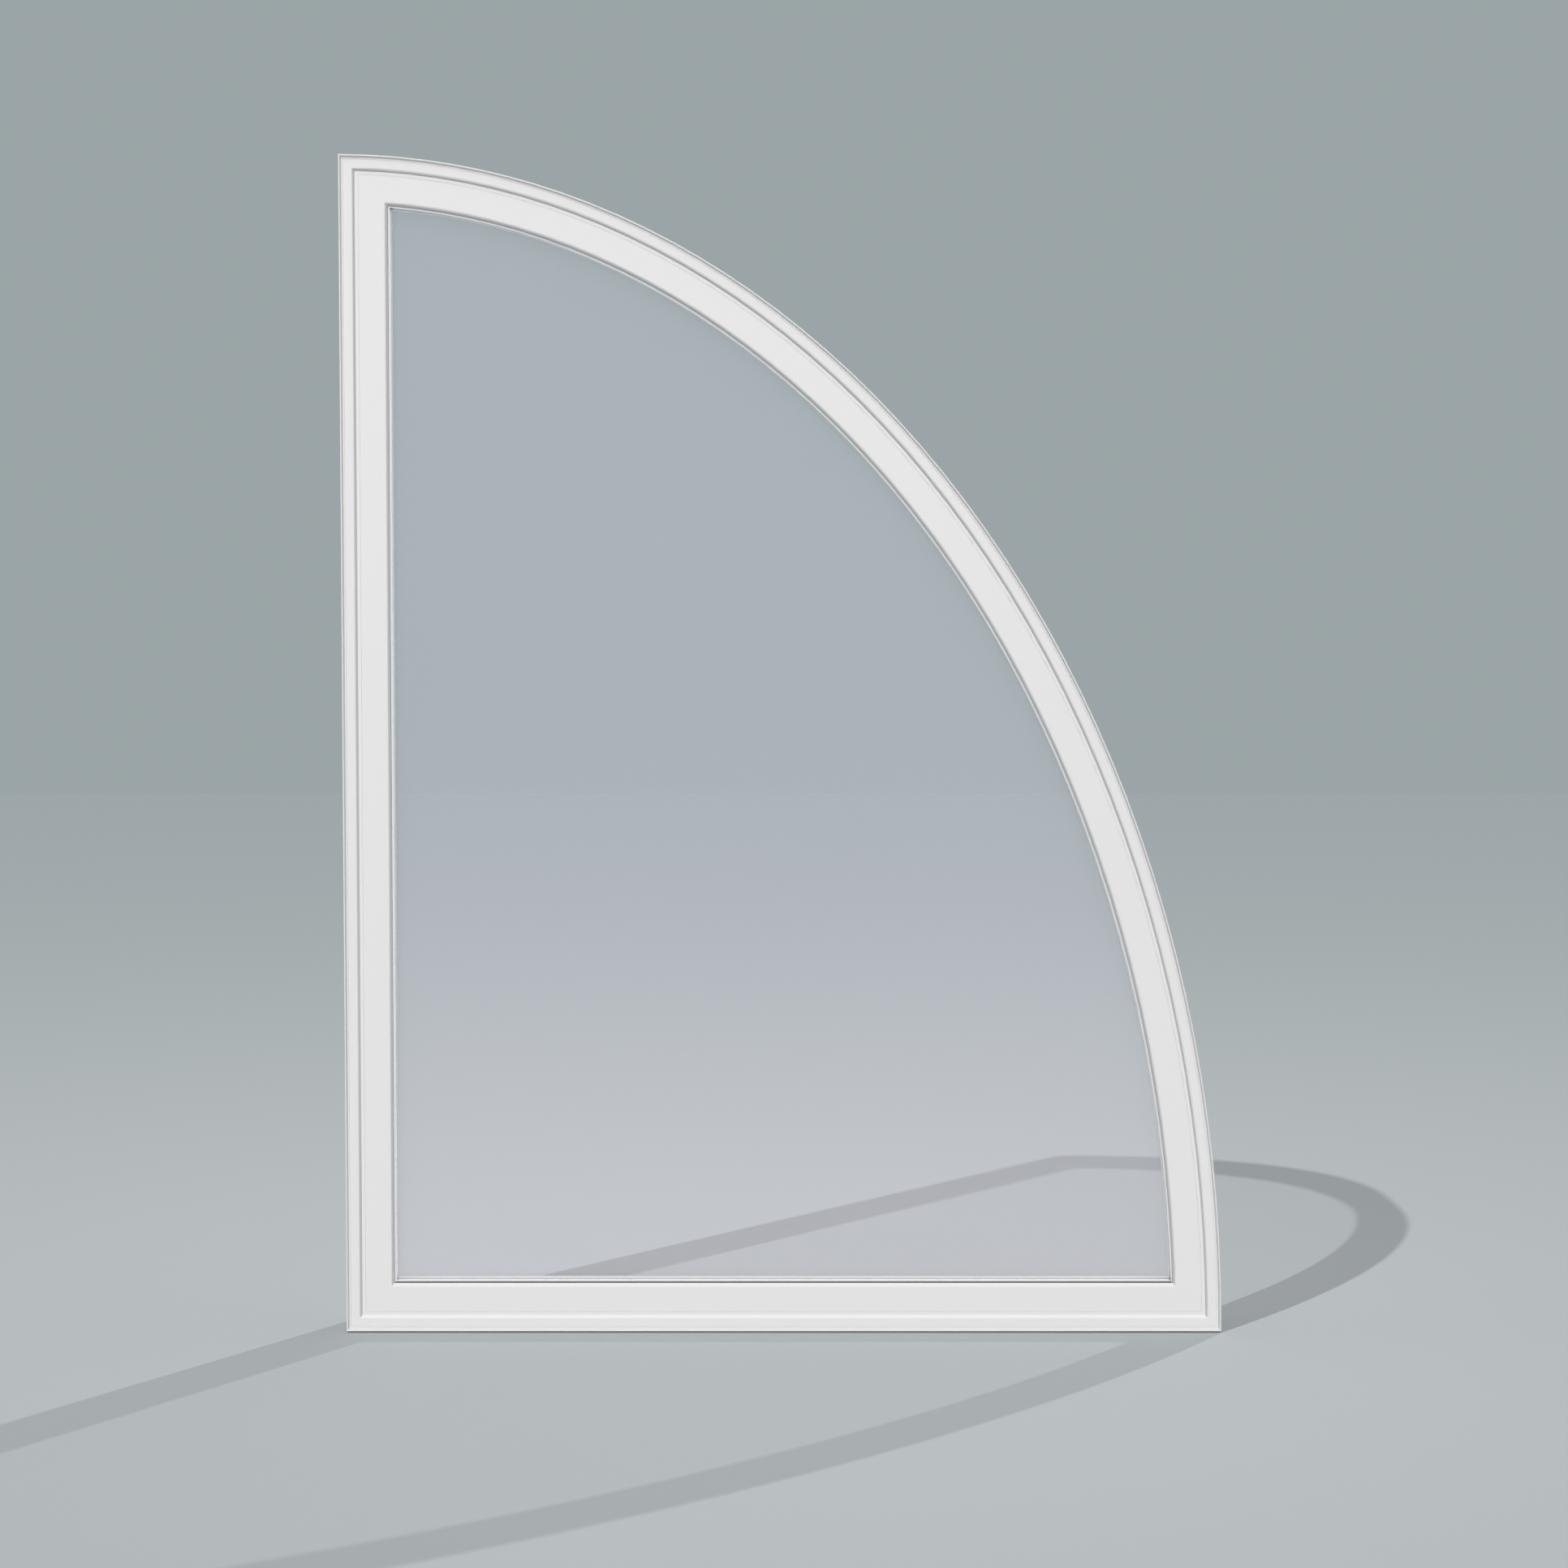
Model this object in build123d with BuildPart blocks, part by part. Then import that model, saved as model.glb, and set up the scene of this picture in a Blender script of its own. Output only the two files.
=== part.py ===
"""Fixed window in the shape of a quarter ellipse, in aluminium-clad timber.

A straight jamb stands on the left, a level sill runs along the foot, and a curved
head falls from the top of the jamb to the far end of the sill.  The front of the
window, its weather side, faces -Y.  +X runs along the sill and +Z is up, with the
origin under the middle of the sill.  All sizes are in millimetres.
"""

from build123d import *

import os
from math import atan2, tan

os.makedirs("parts", exist_ok=True)

# Overall size
window_width = 1219.2
window_height = 1625.6
frame_depth = 82.55

# Wall of the cladding, and the clearance between pieces that slide together
cladding_wall = 1.6
fit_gap = 0.3

# Frame: a thin rim round the edge with a shallow groove at its foot, a flat face,
# and a rounded shoulder and bevel down to a narrow ledge
rim_width = 2.1
rim_rise = 3.0
rim_slope = 1.7
rim_ease = 0.4
groove_depth = 0.4
groove_floor = 1.5
groove_rise = 0.9
frame_width = 25.3
ledge_width = 3.6
frame_bevel_run = 3.0
frame_bevel_drop = 3.0
outer_leg = 32.0
inner_leg = 20.0
fin_slot = 3.0
shoulder_radius = 5.0
arris_ease = 1.5

# Sash: a flat face level with the ledge of the frame, and a bevel to the glass
joint_gap = 0.8
joint_ease = 0.5
sash_width = 40.0
sash_thickness = 48.0
sash_leg = 13.2
sash_bevel_run = 3.1
sash_bevel_drop = 3.1
glazing_leg = 4.0

# Seal that fills the joint between frame and sash, just behind their faces
seal_recess = 0.1
seal_depth = 6.0

# Bar that holds the sash in the frame on the room side
sash_stop_width = 11.0
sash_stop_depth = 14.0
sash_stop_ease = 3.0

# Glass unit: two panes on a spacer, set on glazing tape and setting blocks
pane_thickness = 3.0
cavity_width = 13.0
glass_cover = 12.0
edge_clearance = 3.0
spacer_height = 6.5
tape_thickness = 1.6
tape_height = 9.0
block_length = 100.0

# Points that shape the edge of the panes, and how far a saw cut runs past a corner
curve_steps = 24
saw_overrun = 5.0

# Glazing bead round the front of the glass, narrower along the curve and the foot,
# and the dark gasket outside it along the foot
side_bead_width = 3.0
curved_bead_width = 2.0
bottom_bead_width = 2.2
bead_recess = 0.8
bead_ease = 0.3
gasket_width = 1.3
gasket_recess = 1.2

# Glazing stop round the room side of the glass
stop_sight = 0.5
stop_ease = 1.5

# Insets from the outer edge of the frame
ledge_inset = frame_width - ledge_width
face_end_inset = ledge_inset - frame_bevel_run
sash_inset = frame_width + joint_gap
sash_end_inset = sash_inset + sash_width
sash_face_end_inset = sash_end_inset - sash_bevel_run
glass_inset = sash_end_inset - glass_cover
rebate_inset = glass_inset - edge_clearance
bead_inset = sash_end_inset + fit_gap
sight_inset = bead_inset + side_bead_width
stop_inset = sash_end_inset + stop_sight

# Depths behind the foremost edge, which is the front of the rim
face_depth = rim_rise
sash_face_depth = face_depth + frame_bevel_drop
sash_bevel_depth = sash_face_depth + sash_bevel_drop
bead_depth = sash_bevel_depth + bead_recess
glazing_leg_depth = sash_bevel_depth + glazing_leg
glass_depth = glazing_leg_depth + tape_thickness
cavity_depth = glass_depth + pane_thickness
inner_pane_depth = cavity_depth + cavity_width
glass_back_depth = inner_pane_depth + pane_thickness
sash_back_depth = sash_face_depth + sash_thickness

# Planes of the front of the window and of each section.  In a section, X is the
# inset from the outer edge and Y is the depth behind the foremost edge.
left = -window_width / 2
right = window_width / 2
front = -frame_depth / 2
front_plane = Plane(origin=(left, front, 0), x_dir=(1, 0, 0), z_dir=(0, -1, 0))
sill_plane = Plane(origin=(right, front, 0), x_dir=(0, 0, 1), z_dir=(-1, 0, 0))
jamb_plane = Plane(origin=(left, front, 0), x_dir=(1, 0, 0), z_dir=(0, 0, 1))
head_plane = Plane(origin=(left, front, window_height), x_dir=(0, 0, -1), z_dir=(1, 0, 0))

# The outer edge of the curved head, and the outline of the whole window
with BuildLine(front_plane) as head_line:
    EllipticalCenterArc((0, 0), window_width, window_height, start_angle=90, arc_size=-90)

with BuildSketch() as outline:
    with BuildLine():
        EllipticalCenterArc((0, 0), window_width, window_height, start_angle=0, arc_size=90)
        Line((0, window_height), (0, 0))
        Line((0, 0), (window_width, 0))
    make_face()


def outline_inset_by(inset):
    """The outline of the window, moved in by the same distance all round."""
    with BuildSketch() as exact:
        add(outline.sketch)
        offset(amount=-inset, kind=Kind.INTERSECTION)
    curve = exact.edges().filter_by(GeomType.LINE, reverse=True)[0]
    inner_heel = Vector(inset, inset)
    with BuildSketch() as smaller:
        with BuildLine():
            curve_points = [curve @ (step / curve_steps) for step in range(curve_steps + 1)]
            Spline(curve_points, tangents=(curve % 0, curve % 1))
            Line(curve @ 1, inner_heel)
            Line(inner_heel, curve @ 0)
        make_face()
    return smaller.sketch


clear_corners = [Vector(*corner) for corner in outline_inset_by(sight_inset).vertices()]


def saw_cut(corner):
    """The mitre line from a corner of the outline past the same corner of the clear glass."""
    inner_corner = min(clear_corners, key=lambda point: (point - corner).length)
    past = (inner_corner - corner).normalized() * saw_overrun
    return corner - past, inner_corner + past


# The mitres at the heel, the top and the toe, and a point outside the curve
heel_cut = saw_cut(Vector(0, 0))
top_cut = saw_cut(Vector(0, window_height))
toe_cut = saw_cut(Vector(window_width, 0))
beyond = Vector(window_width + saw_overrun, window_height + saw_overrun)


def tuck(gap, drop, run):
    """How far a corner of a bevel moves back along the face at this gap inside it."""
    return gap * tan(atan2(drop, run) / 2)


def bar_section(inset, depth, width, thickness):
    """A rectangle that starts at this inset and depth."""
    with BuildSketch() as section:
        with Locations((inset, depth)):
            Rectangle(width, thickness, align=(Align.MIN, Align.MIN))
    return section.sketch


# Frame cladding: an aluminium skin, one wall thick, with a leg down each side
wall_tuck = tuck(cladding_wall, frame_bevel_drop, frame_bevel_run)
rim_foot = rim_width + rim_slope
groove_end = rim_foot + groove_floor
with BuildSketch() as frame_cladding_section:
    with BuildLine():
        FilletPolyline(
            (0, outer_leg),
            (0, 0),
            (rim_width, 0),
            (rim_foot, face_depth + groove_depth),
            (groove_end, face_depth + groove_depth),
            (groove_end + groove_rise, face_depth),
            (face_end_inset, face_depth),
            (ledge_inset, sash_face_depth),
            (frame_width, sash_face_depth),
            (frame_width, inner_leg),
            radius=(0, 0, 0, 0, 0, shoulder_radius, 0, 0),
        )
        Polyline(
            (frame_width, inner_leg),
            (frame_width - cladding_wall, inner_leg),
            (frame_width - cladding_wall, sash_face_depth + cladding_wall),
            (ledge_inset - wall_tuck, sash_face_depth + cladding_wall),
            (face_end_inset - wall_tuck, face_depth + cladding_wall),
            (cladding_wall, face_depth + cladding_wall),
            (cladding_wall, outer_leg),
            (0, outer_leg),
        )
    make_face()
    rim_corners = frame_cladding_section.vertices().group_by(Axis.Y)[0]
    chamfer(rim_corners, length=rim_ease)

# Frame timber: fills the cladding, and comes out flush with it behind its legs
core_gap = cladding_wall + fit_gap
core_tuck = tuck(core_gap, frame_bevel_drop, frame_bevel_run)
with BuildSketch() as frame_section:
    with BuildLine():
        Polyline(
            (core_gap, face_depth + core_gap),
            (face_end_inset - core_tuck, face_depth + core_gap),
            (ledge_inset - core_tuck, sash_face_depth + core_gap),
            (frame_width - core_gap, sash_face_depth + core_gap),
            (frame_width - core_gap, inner_leg + fit_gap),
            (frame_width, inner_leg + fit_gap),
            (frame_width, frame_depth),
            (0, frame_depth),
            (0, outer_leg + fin_slot),
            (core_gap, outer_leg + fin_slot),
            close=True,
        )
    make_face()
    room_corners = frame_section.vertices().group_by(Axis.Y)[-1]
    chamfer(room_corners.sort_by(Axis.X)[-1], length=arris_ease)

# Sash cladding: a leg into the joint, the face, the bevel, and a flange behind
# which the glazing tape sticks
skin_tuck = tuck(cladding_wall, sash_bevel_drop, sash_bevel_run)
flange_front = glazing_leg_depth - cladding_wall
slope = sash_bevel_run / sash_bevel_drop
toe_depth = sash_face_depth + cladding_wall + (
    sash_end_inset - cladding_wall - sash_face_end_inset + skin_tuck
) / slope
with BuildSketch() as sash_cladding_section:
    with BuildLine():
        FilletPolyline(
            (sash_inset, sash_face_depth + sash_leg),
            (sash_inset, sash_face_depth),
            (sash_face_end_inset, sash_face_depth),
            (sash_end_inset, sash_bevel_depth),
            (sash_end_inset, glazing_leg_depth),
            (rebate_inset + fit_gap, glazing_leg_depth),
            radius=(0, shoulder_radius, 0, 0),
        )
        Polyline(
            (rebate_inset + fit_gap, glazing_leg_depth),
            (rebate_inset + fit_gap, flange_front),
            (sash_end_inset - cladding_wall, flange_front),
            (sash_end_inset - cladding_wall, toe_depth),
            (sash_face_end_inset - skin_tuck, sash_face_depth + cladding_wall),
            (sash_inset + cladding_wall, sash_face_depth + cladding_wall),
            (sash_inset + cladding_wall, sash_face_depth + sash_leg),
            (sash_inset, sash_face_depth + sash_leg),
        )
    make_face()
    face_corners = sash_cladding_section.vertices().group_by(Axis.Y)[0]
    chamfer(face_corners.sort_by(Axis.X)[0], length=joint_ease)

# Sash timber: fills the cladding, with a rebate for the glass unit
sash_core_tuck = tuck(core_gap, sash_bevel_drop, sash_bevel_run)
nose_inset = sash_end_inset - core_gap
nose_depth = sash_face_depth + core_gap + (
    nose_inset - sash_face_end_inset + sash_core_tuck
) / slope
with BuildSketch() as sash_section:
    with BuildLine():
        Polyline(
            (sash_inset + core_gap, sash_face_depth + core_gap),
            (sash_face_end_inset - sash_core_tuck, sash_face_depth + core_gap),
            (nose_inset, nose_depth),
            (nose_inset, flange_front - fit_gap),
            (rebate_inset, flange_front - fit_gap),
            (rebate_inset, sash_back_depth),
            (frame_width + fit_gap, sash_back_depth),
            (frame_width + fit_gap, sash_face_depth + sash_leg + fit_gap),
            (sash_inset + core_gap, sash_face_depth + sash_leg + fit_gap),
            close=True,
        )
    make_face()

# Joint seal: touches the cladding of the frame and of the sash
seal_section = bar_section(frame_width, sash_face_depth + seal_recess, joint_gap, seal_depth)

# Sash stop: a bar against the back of the sash, with its corner cut off towards the room
with BuildSketch() as sash_stop_section:
    add(bar_section(frame_width + fit_gap, sash_back_depth, sash_stop_width, sash_stop_depth))
    stop_corners = sash_stop_section.vertices().group_by(Axis.Y)[-1]
    chamfer(stop_corners.sort_by(Axis.X)[-1], length=sash_stop_ease)

# Glazing tape between the flange of the sash cladding and the outer pane
tape_section = bar_section(glass_inset, glazing_leg_depth, tape_height, tape_thickness)

# Spacer between the panes
spacer_section = bar_section(glass_inset, cavity_depth, spacer_height, cavity_width)

# Glazing stop: a bar in the rebate behind the glass, its corner eased towards the room
stop_start = rebate_inset + fit_gap
stop_depth = glass_back_depth + fit_gap
with BuildSketch() as stop_section:
    add(bar_section(stop_start, stop_depth, stop_inset - stop_start, sash_back_depth - stop_depth))
    inner_corners = stop_section.vertices().group_by(Axis.Y)[-1]
    chamfer(inner_corners.sort_by(Axis.X)[-1], length=stop_ease)


def bead_section(inset, width):
    """Glazing bead on the outer pane, with both front edges eased."""
    with BuildSketch() as section:
        add(bar_section(inset, bead_depth, width, glass_depth - bead_depth))
        chamfer(section.vertices().group_by(Axis.Y)[0], length=bead_ease)
    return section.sketch


def mitred(blank, *corners):
    """A length cut to its mitres, which bound the area that is kept."""
    with BuildPart() as piece:
        add(blank)
        with BuildSketch(front_plane):
            Polygon(*corners, align=None)
        extrude(amount=-frame_depth, mode=Mode.INTERSECT)
    return piece.part


def bottom_piece(section):
    """A level length along the foot of the window, mitred at the heel and the toe."""
    with BuildPart() as blank:
        with BuildSketch(sill_plane):
            add(section)
        extrude(amount=window_width)
    return mitred(blank.part, *heel_cut, *reversed(toe_cut))


def side_piece(section):
    """An upright length up the left side, mitred at the heel and the top."""
    with BuildPart() as blank:
        with BuildSketch(jamb_plane):
            add(section)
        extrude(amount=window_height)
    return mitred(blank.part, *heel_cut, *reversed(top_cut))


def curved_piece(section):
    """A length bent along the quarter ellipse, mitred at the top and the toe."""
    with BuildPart() as blank:
        with BuildSketch(head_plane):
            add(section)
        sweep(path=head_line.line)
    return mitred(blank.part, *top_cut, *reversed(toe_cut), beyond)


def pane(depth):
    """One sheet of glass, cut to the outline of the rebate."""
    with BuildPart() as piece:
        with BuildSketch(front_plane.offset(-depth)):
            add(outline_inset_by(glass_inset))
        extrude(amount=-pane_thickness)
    return piece.part


def setting_block(middle):
    """A block in the rebate of the bottom rail, under both panes."""
    with BuildPart() as piece:
        with BuildSketch(Plane.XY.offset(rebate_inset)):
            with Locations((middle, front + (glass_depth + glass_back_depth) / 2)):
                Rectangle(block_length, glass_back_depth - glass_depth)
        extrude(amount=edge_clearance)
    return piece.part


def save(name, piece):
    """Label a piece and write it to its own file."""
    piece.label = name
    export_step(piece, f"parts/{name}.step")


# Rings of three lengths: along the foot, up the side, and round the curve
rings = {
    ("sill_cladding", "side_jamb_cladding", "curved_head_cladding"): frame_cladding_section.sketch,
    ("sill", "side_jamb", "curved_head"): frame_section.sketch,
    ("bottom_rail_cladding", "side_stile_cladding", "curved_rail_cladding"): sash_cladding_section.sketch,
    ("bottom_rail", "side_stile", "curved_rail"): sash_section.sketch,
    ("bottom_joint_seal", "side_joint_seal", "curved_joint_seal"): seal_section,
    ("bottom_sash_stop", "side_sash_stop", "curved_sash_stop"): sash_stop_section.sketch,
    ("bottom_glazing_tape", "side_glazing_tape", "curved_glazing_tape"): tape_section,
    ("bottom_spacer", "side_spacer", "curved_spacer"): spacer_section,
    ("bottom_glazing_stop", "side_glazing_stop", "curved_glazing_stop"): stop_section.sketch,
}
for (bottom_name, side_name, curved_name), ring_section in rings.items():
    save(bottom_name, bottom_piece(ring_section))
    save(side_name, side_piece(ring_section))
    save(curved_name, curved_piece(ring_section))

# Beads of their own widths, and the gasket that shows outside the bead along the foot
save("side_glazing_bead", side_piece(bead_section(bead_inset, side_bead_width)))
save("curved_glazing_bead", curved_piece(bead_section(bead_inset, curved_bead_width)))
bottom_bead_inset = bead_inset + gasket_width + fit_gap
save("bottom_glazing_bead", bottom_piece(bead_section(bottom_bead_inset, bottom_bead_width)))
gasket_depth = bead_depth + gasket_recess
gasket_section = bar_section(bead_inset, gasket_depth, gasket_width, glass_depth - gasket_depth)
save("bottom_gasket", bottom_piece(gasket_section))

save("outer_pane", pane(glass_depth))
save("inner_pane", pane(inner_pane_depth))

# The glass unit stands on two blocks, a quarter of its length in from each end
glass_length = window_width - 2 * glass_inset
save("left_setting_block", setting_block(-glass_length / 4))
save("right_setting_block", setting_block(glass_length / 4))
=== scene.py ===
"""Looks of the fixed quarter ellipse window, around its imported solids."""

from math import radians

import bmesh
import bpy
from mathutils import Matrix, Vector


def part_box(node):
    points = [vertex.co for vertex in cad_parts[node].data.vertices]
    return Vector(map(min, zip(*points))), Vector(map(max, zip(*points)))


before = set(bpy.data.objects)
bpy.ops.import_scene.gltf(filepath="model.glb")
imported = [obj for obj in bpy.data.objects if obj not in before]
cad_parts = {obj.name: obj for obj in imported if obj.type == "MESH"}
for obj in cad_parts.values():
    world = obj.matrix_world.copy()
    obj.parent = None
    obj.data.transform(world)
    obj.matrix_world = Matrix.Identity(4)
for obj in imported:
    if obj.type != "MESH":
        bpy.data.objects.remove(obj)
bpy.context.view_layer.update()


# Frame timber: softwood sill, jamb and curved head, mitred and glued at the corners.
# It is primed, then painted white with a brush drawn along each length.

class Number:
    """A number that a material's nodes work out, which takes part in plain sums."""

    def __init__(self, finish, socket):
        self.finish = finish
        self.socket = socket

    def work_out(self, operation, first, second):
        node = self.finish.node("ShaderNodeMath", {"operation": operation}, {0: first, 1: second})
        return Number(self.finish, node.outputs[0])

    def __add__(self, other):
        return self.work_out("ADD", self, other)

    def __radd__(self, other):
        return self.work_out("ADD", other, self)

    def __sub__(self, other):
        return self.work_out("SUBTRACT", self, other)

    def __rsub__(self, other):
        return self.work_out("SUBTRACT", other, self)

    def __mul__(self, other):
        return self.work_out("MULTIPLY", self, other)

    def __rmul__(self, other):
        return self.work_out("MULTIPLY", other, self)

    def __truediv__(self, other):
        return self.work_out("DIVIDE", self, other)

    def __rtruediv__(self, other):
        return self.work_out("DIVIDE", other, self)

    def __pow__(self, other):
        return self.work_out("POWER", self, other)

    def at_least(self, other):
        return self.work_out("MAXIMUM", self, other)

    def between(self, low, high):
        """Spread 0 to 1 over this range."""
        return low + self * (high - low)


class Finish:
    """A material, or the world, built up node by node."""

    def __init__(self, name, kept_in=bpy.data.materials):
        self.material = kept_in.new(name)
        self.material.use_nodes = True
        self.tree = self.material.node_tree
        self.tree.nodes.clear()

    def node(self, kind, settings=None, inputs=None):
        """Add a node, set it up, then give each input its value or its link."""
        node = self.tree.nodes.new(kind)
        for name, setting in (settings or {}).items():
            setattr(node, name, setting)
        for name, value in (inputs or {}).items():
            if isinstance(value, Number):
                value = value.socket
            if isinstance(value, bpy.types.NodeSocket):
                self.tree.links.new(value, node.inputs[name])
            else:
                node.inputs[name].default_value = value
        return node

    def number(self, kind, output, settings=None, inputs=None):
        return Number(self, self.node(kind, settings, inputs).outputs[output])

    def place(self):
        return self.node("ShaderNodeTexCoord").outputs["Object"]

    def noise(self, where, scale, detail=2.0):
        """Cloudy noise between 0 and 1, of this many waves to the metre."""
        inputs = {"Vector": where, "Scale": scale, "Detail": detail}
        return self.number("ShaderNodeTexNoise", "Fac", inputs=inputs)

    def blend(self, amount, first, second):
        """A colour part of the way from the first to the second."""
        # A Mix node takes colours at its inputs 6 and 7, and gives one at its output 2.
        inputs = {0: amount, 6: first, 7: second}
        return self.node("ShaderNodeMix", {"data_type": "RGBA"}, inputs).outputs[2]

    def relief(self, height, depth):
        """A bump whose height of 1 stands this many metres proud."""
        inputs = {"Height": height, "Distance": depth, "Strength": 1.0}
        return self.node("ShaderNodeBump", inputs=inputs).outputs["Normal"]

    def surface(self, **sockets):
        """End with one Principled shader."""
        inputs = {name.replace("_", " "): value for name, value in sockets.items()}
        shader = self.node("ShaderNodeBsdfPrincipled", inputs=inputs)
        self.show(shader.outputs[0])

    def show(self, shader, kind="ShaderNodeOutputMaterial"):
        self.node(kind, inputs={"Surface": shader})


def clothe(material, *names):
    """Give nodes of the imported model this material."""
    for name in names:
        for material_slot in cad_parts[name].material_slots:
            material_slot.material = material


head_low, head_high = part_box("curved_head")
window_left = head_low[0]
window_width = head_high[0] - head_low[0]
window_height = head_high[2]

streak_squeeze = 0.02
clear_of_zero = 0.5
straight_squeeze = {
    "foot": (streak_squeeze, 1, 1),
    "side": (1, 1, streak_squeeze),
}


def along_member(finish, direction):
    """Object coordinates squeezed along a member, so that noise on them makes streaks."""
    where = finish.place()
    if direction in straight_squeeze:
        inputs = {"Vector": where, "Scale": straight_squeeze[direction]}
        return finish.node("ShaderNodeMapping", inputs=inputs).outputs[0]
    axes = finish.node("ShaderNodeSeparateXYZ", inputs={"Vector": where})
    across = Number(finish, axes.outputs["X"]) - window_left
    up = Number(finish, axes.outputs["Z"]) * (window_width / window_height)
    ring = (across * across + up * up) ** 0.5
    turn = up / (across + clear_of_zero)
    inputs = {"X": ring, "Y": axes.outputs["Y"], "Z": turn * streak_squeeze}
    return finish.node("ShaderNodeCombineXYZ", inputs=inputs).outputs[0]


paint_colour = (0.86, 0.86, 0.85, 1)
paint_shade = (0.81, 0.81, 0.80, 1)
patch_scale = 9
brush_scale = 700
brush_detail = 3
brush_depth = 0.00006


def painted_timber(direction):
    finish = Finish("white_paint_" + direction)
    bristles = finish.noise(along_member(finish, direction), brush_scale, brush_detail)
    patches = finish.noise(finish.place(), patch_scale)
    finish.surface(
        Base_Color=finish.blend(patches, paint_colour, paint_shade),
        Roughness=bristles.between(0.40, 0.52),
        Normal=finish.relief(bristles, brush_depth),
    )
    return finish.material


timber_paint = {direction: painted_timber(direction) for direction in ("foot", "side", "curve")}


def paint(foot_length, side_length, curved_length):
    """Paint the three lengths of a ring, each with the brush marks along it."""
    clothe(timber_paint["foot"], foot_length)
    clothe(timber_paint["side"], side_length)
    clothe(timber_paint["curve"], curved_length)


paint("sill", "side_jamb", "curved_head")


# Frame cladding: an extruded aluminium skin pressed over the timber, mitred at the corners.
# Its white powder coat has a satin gloss and the very fine ripple of baked powder.

coat_colour = (0.905, 0.885, 0.875, 1)
coat_shade = (0.885, 0.87, 0.86, 1)
cloud_scale = 4
peel_scale = 450
peel_depth = 0.000012

powder = Finish("white_powder_coat")
powder_place = powder.place()
ripple = powder.noise(powder_place, peel_scale)
cloud = powder.noise(powder_place, cloud_scale)
powder.surface(
    Base_Color=powder.blend(cloud, coat_colour, coat_shade),
    Roughness=ripple.between(0.26, 0.32),
    Normal=powder.relief(ripple, peel_depth),
    Specular_IOR_Level=1.0,
    Coat_Weight=1.0,
    Coat_Roughness=0.2,
    Coat_IOR=1.6,
)
clothe(powder.material, "sill_cladding", "side_jamb_cladding", "curved_head_cladding")


# Sash: three mitred lengths of painted timber round the glass, fixed in the frame.
# They are under the same kind of white aluminium skin as the frame.

paint("bottom_rail", "side_stile", "curved_rail")
clothe(powder.material, "bottom_rail_cladding", "side_stile_cladding", "curved_rail_cladding")


# Joint seal: a soft white strip of extruded rubber all round the sash.
# It is pressed into the joint between the two claddings, a little below their faces.

seal_colour = (0.96, 0.96, 0.96, 1)
seal_shade = (0.92, 0.92, 0.92, 1)
grain_scale = 1500

seal = Finish("white_seal")
grain = seal.noise(seal.place(), grain_scale)
seal.surface(
    Base_Color=seal.blend(grain, seal_colour, seal_shade),
    Roughness=grain.between(0.26, 0.32),
    Specular_IOR_Level=1.0,
    Coat_Weight=1.0,
    Coat_Roughness=0.2,
    Coat_IOR=1.6,
)
clothe(seal.material, "bottom_joint_seal", "side_joint_seal", "curved_joint_seal")


# Sash stops: timber bars nailed to the frame against the room side of the sash,
# mitred at the corners and painted with the frame.

paint("bottom_sash_stop", "side_sash_stop", "curved_sash_stop")


# Setting blocks: two hard black rubber blocks that lie on the bottom rail.
# The glass unit stands on them, and they carry its weight.

rubber_colour = (0.022, 0.022, 0.024, 1)
rubber_dusty = (0.035, 0.035, 0.037, 1)
dust_scale = 600
dust_depth = 0.00002

rubber = Finish("black_rubber")
dust = rubber.noise(rubber.place(), dust_scale)
rubber.surface(
    Base_Color=rubber.blend(dust, rubber_colour, rubber_dusty),
    Roughness=dust.between(0.50, 0.65),
    Normal=rubber.relief(dust, dust_depth),
)
clothe(rubber.material, "left_setting_block", "right_setting_block")


# Glass unit: two sheets of float glass on a grey foam spacer.
# The glass has a faint blue-grey veil, stronger where it is seen at a low angle,
# and a painted reflection makes it a little stronger and warmer towards the foot.

veil_share = 0.062
painted_reflection_share = 0.014
veil_at_edge = 0.12
veil_edge_power = 4
veil_high = (0.72, 0.78, 0.94, 1)
painted_reflection_colour = (0.92, 0.86, 1.0, 1)
painted_reflection_height = 1.2
film_scale = 3
film_share = 0.004

glass = Finish("clear_glass")
edge_on = glass.number("ShaderNodeLayerWeight", "Facing", inputs={"Blend": 0.5})
film = glass.noise(glass.place(), film_scale)
pane_axes = glass.node("ShaderNodeSeparateXYZ", inputs={"Vector": glass.place()})
# Painted reflection: towards the foot the veil is warmer and covers more of the pane.
painted_reflection_lowness = (1 - Number(glass, pane_axes.outputs["Z"]) / painted_reflection_height).at_least(0)
veil = glass.node("ShaderNodeBsdfPrincipled", inputs={
    "Base Color": glass.blend(painted_reflection_lowness, veil_high, painted_reflection_colour),
    "Roughness": 0.15,
    "Specular IOR Level": 0.9,
    "Coat Weight": 1.0,
    "Coat Roughness": 0.15,
})
clear = glass.node("ShaderNodeBsdfTransparent")
at_edge = edge_on ** veil_edge_power * veil_at_edge
share = veil_share + film * film_share + painted_reflection_lowness * painted_reflection_share + at_edge
pane_mix = glass.node("ShaderNodeMixShader", inputs={0: share, 1: clear.outputs[0], 2: veil.outputs[0]})
glass.show(pane_mix.outputs[0])
clothe(glass.material, "outer_pane", "inner_pane")

foam_colour = (0.36, 0.37, 0.38, 1)
foam_shade = (0.28, 0.29, 0.30, 1)
cell_scale = 2200
cell_depth = 0.00008

foam = Finish("grey_foam")
cells = foam.noise(foam.place(), cell_scale)
foam.surface(
    Base_Color=foam.blend(cells, foam_colour, foam_shade),
    Roughness=0.7,
    Normal=foam.relief(cells, cell_depth),
)
clothe(foam.material, "bottom_spacer", "side_spacer", "curved_spacer")


# Glazing tape: pale closed-cell foam tape, stuck behind the flange of the sash cladding.
# The outer sheet of glass is bedded on it.

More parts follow.
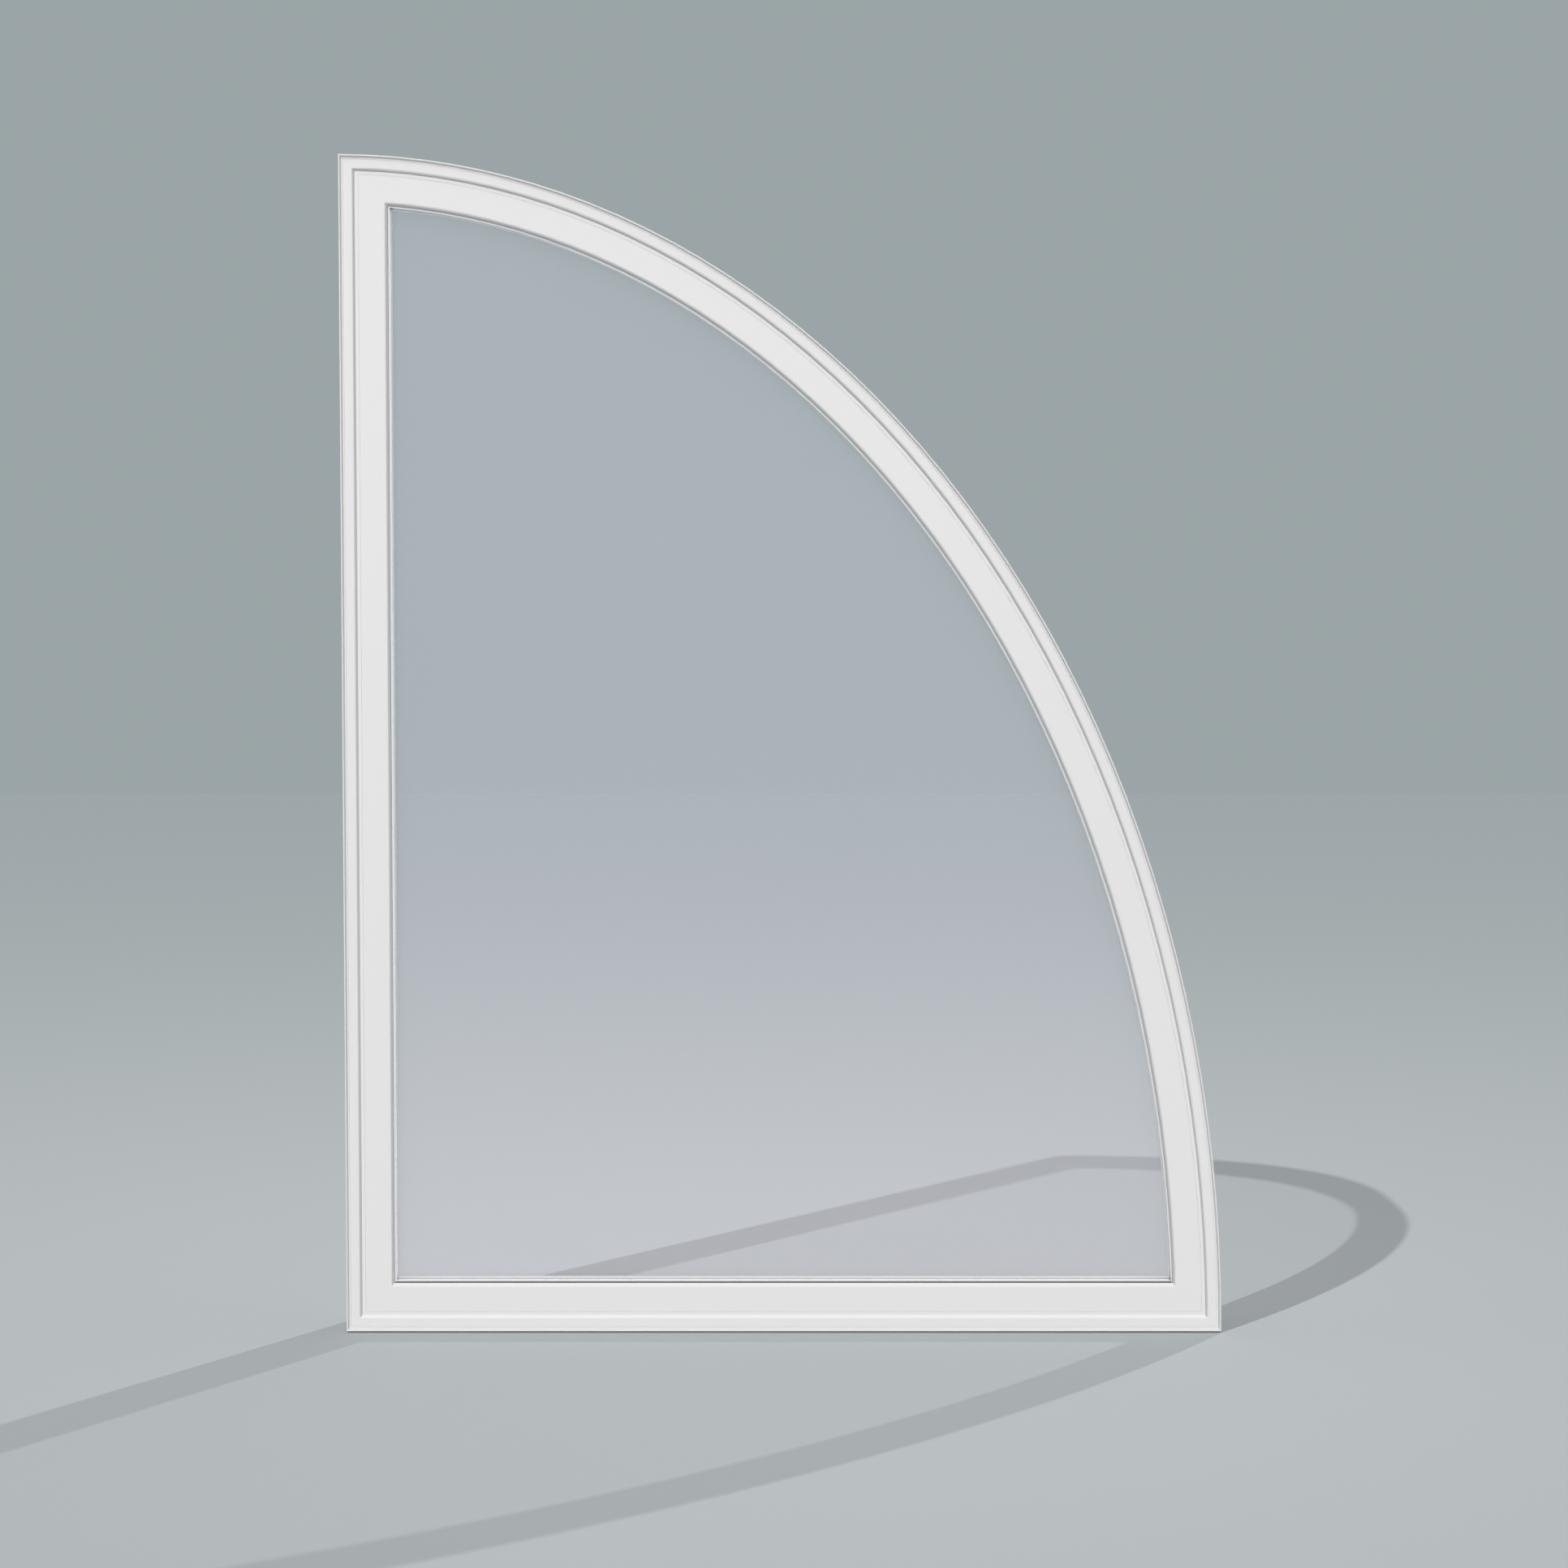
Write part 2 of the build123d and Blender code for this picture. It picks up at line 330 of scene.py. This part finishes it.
tape_colour = (0.62, 0.62, 0.62, 1)
tape_shade = (0.54, 0.54, 0.54, 1)
pore_scale = 1800
pore_depth = 0.00005

tape = Finish("pale_tape")
pores = tape.noise(tape.place(), pore_scale)
tape.surface(
    Base_Color=tape.blend(pores, tape_colour, tape_shade),
    Roughness=0.8,
    Normal=tape.relief(pores, pore_depth),
)
clothe(tape.material, "bottom_glazing_tape", "side_glazing_tape", "curved_glazing_tape")


# Glazing stops: painted timber bars nailed to the sash from the room side,
# which hold the glass unit against the tape.

paint("bottom_glazing_stop", "side_glazing_stop", "curved_glazing_stop")


# Glazing bead: a smooth white extrusion round the front of the glass, pressed in last,
# with a near-black gasket outside it along the foot only, which paints the shade in the gap there.

bead_colour = (0.87, 0.87, 0.88, 1)
bead_shade = (0.84, 0.84, 0.86, 1)
sheen_scale = 40

bead = Finish("white_bead")
sheen = bead.noise(bead.place(), sheen_scale)
bead.surface(
    Base_Color=bead.blend(sheen, bead_colour, bead_shade),
    Roughness=sheen.between(0.24, 0.32),
    Specular_IOR_Level=0.9,
    Coat_Weight=1.0,
    Coat_Roughness=0.18,
)
clothe(bead.material, "bottom_glazing_bead", "side_glazing_bead", "curved_glazing_bead")

gasket_painted_shade = (0.045, 0.045, 0.048, 1)
gasket_painted_shade_bloomed = (0.065, 0.065, 0.068, 1)
bloom_scale = 500

# Painted shade: the gasket along the foot is near-black and stands for the shade in the gap there.
gasket = Finish("dark_gasket_painted_shade")
bloom = gasket.noise(gasket.place(), bloom_scale)
gasket.surface(
    Base_Color=gasket.blend(bloom, gasket_painted_shade, gasket_painted_shade_bloomed),
    Roughness=bloom.between(0.55, 0.65),
)
clothe(gasket.material, "bottom_gasket")


# Floor: a wide pale studio floor, lightest round the window in a painted pool of light, that ends
# at a straight edge against the backdrop. It throws back less light than it shows, so the mouldings
# stay crisp.

floor_drop = 0.002
floor_reach = 14.65
painted_pool_reach = 3.5
painted_pool_near = (0.490, 0.520, 0.533, 1)
painted_pool_far = (0.330, 0.376, 0.387, 1)
thrown_back = 0.5

floor_mesh = bmesh.new()
bmesh.ops.create_grid(floor_mesh, x_segments=1, y_segments=1, size=floor_reach)
bmesh.ops.translate(floor_mesh, verts=floor_mesh.verts, vec=(0, 0, -floor_drop))
floor_data = bpy.data.meshes.new("floor")
floor_mesh.to_mesh(floor_data)
floor_mesh.free()
floor = bpy.data.objects.new("floor", floor_data)
bpy.context.scene.collection.objects.link(floor)


def seen(finish):
    """1 where a ray comes from the camera, a reflection or the glass, and otherwise 0."""
    path = finish.node("ShaderNodeLightPath")
    answer = Number(finish, path.outputs["Is Camera Ray"])
    for kind in ("Is Glossy Ray", "Is Transmission Ray"):
        answer = answer.at_least(path.outputs[kind])
    return answer


ground = Finish("pale_floor")
ground_axes = ground.node("ShaderNodeSeparateXYZ", inputs={"Vector": ground.place()})
across = Number(ground, ground_axes.outputs["X"]) / painted_pool_reach
away = Number(ground, ground_axes.outputs["Y"]) / painted_pool_reach
# Painted pool of light: the floor's colour is lighter towards the window.
painted_pool = 1 / (1 + across * across + away * away)
floor_shown = ground.blend(painted_pool, painted_pool_far, painted_pool_near)
floor_dim = tuple(level * thrown_back for level in painted_pool_near[:3]) + (1,)
ground.surface(
    Base_Color=ground.blend(seen(ground), floor_dim, floor_shown),
    Roughness=0.9,
    Specular_IOR_Level=0.1,
)
floor.data.materials.append(ground.material)
floor.visible_shadow = False
floor.visible_glossy = False


# Light: a plain grey surround, with soft lamps in front of, above and behind the window,
# one of which gives gloss alone. Two small far lamps cast the two shadows on the floor,
# and the floor has a soft lamp of its own.

backdrop_grey = (0.328, 0.376, 0.386, 1)
white = (1, 1, 1, 1)
surround_light = 0.12

surround = Finish("surround", bpy.data.worlds)
backdrop = surround.node("ShaderNodeBackground", inputs={"Color": backdrop_grey})
giving = surround.node("ShaderNodeBackground", inputs={"Color": white, "Strength": surround_light})
surround_inputs = {0: seen(surround), 1: giving.outputs[0], 2: backdrop.outputs[0]}
surround_mix = surround.node("ShaderNodeMixShader", inputs=surround_inputs)
surround.show(surround_mix.outputs[0], "ShaderNodeOutputWorld")
bpy.context.scene.world = surround.material


def far_lamp(name, travel, power, spread):
    """A lamp so far off that its light is parallel, travelling this way.

    Its power is in watts to the square metre, and its spread is the angle in degrees
    that the lamp fills as the window sees it.
    """
    lamp = bpy.data.lights.new(name, "SUN")
    lamp.energy = power
    lamp.angle = radians(spread)
    lamp_object = bpy.data.objects.new(name, lamp)
    lamp_object.rotation_euler = Vector(travel).to_track_quat("-Z", "Y").to_euler()
    bpy.context.scene.collection.objects.link(lamp_object)
    return lamp_object


front_lamp = far_lamp("front_lamp", (0.12, 1, 0.3), 0.38, 42)
gloss_lamp = far_lamp("gloss_lamp", (0.12, 1, 0.12), 1.74, 68)
high_lamp = far_lamp("high_lamp", (0, 1, -0.92), 0.6, 84)
top_lamp = far_lamp("top_lamp", (0, 0.45, -1), 1.45, 70)
room_lamp = far_lamp("room_lamp", (0, -1, -0.15), 2.2, 110)
right_lamp = far_lamp("right_lamp", (-0.555, -0.864, -1), 0.9, 0.6)
left_lamp = far_lamp("left_lamp", (0.691, 0.798, -1), 1.58, 0.6)
floor_lamp = far_lamp("floor_lamp", (0, 0, -1), 1.04, 60)

window_only = bpy.data.collections.new("window_only")
for node_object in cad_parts.values():
    window_only.objects.link(node_object)
for lamp_object in (front_lamp, gloss_lamp, high_lamp, top_lamp, room_lamp):
    lamp_object.light_linking.receiver_collection = window_only

floor_only = bpy.data.collections.new("floor_only")
floor_only.objects.link(floor)
for lamp_object in (right_lamp, left_lamp, floor_lamp):
    lamp_object.light_linking.receiver_collection = floor_only

# The front lamp gives no gloss, so the gloss lamp gives the front its even sheen. The two
# small lamps give none either, and are sampled directly, which leaves no stray bright dots.
gloss_lamp.visible_diffuse = False
for lamp_object in (front_lamp, right_lamp, left_lamp):
    lamp_object.visible_glossy = False
for lamp_object in (right_lamp, left_lamp):
    lamp_object.data.cycles.use_multiple_importance_sampling = False


# Camera: at the photograph's angle, just above the middle of the window, looking down
# a little, with a 65 mm lens.

camera_distance = 3.946
camera_height = 0.9508
camera_tilt = 2.742
straight_ahead = 90

lens = bpy.data.cameras.new("camera")
lens.lens = 65
lens.sensor_width = 36
lens.clip_end = 100
camera = bpy.data.objects.new("camera", lens)
camera.location = (0, -camera_distance, camera_height)
camera.rotation_euler = (radians(straight_ahead - camera_tilt), 0, 0)
bpy.context.scene.collection.objects.link(camera)
bpy.context.scene.camera = camera
bpy.context.scene.view_settings.view_transform = "Standard"
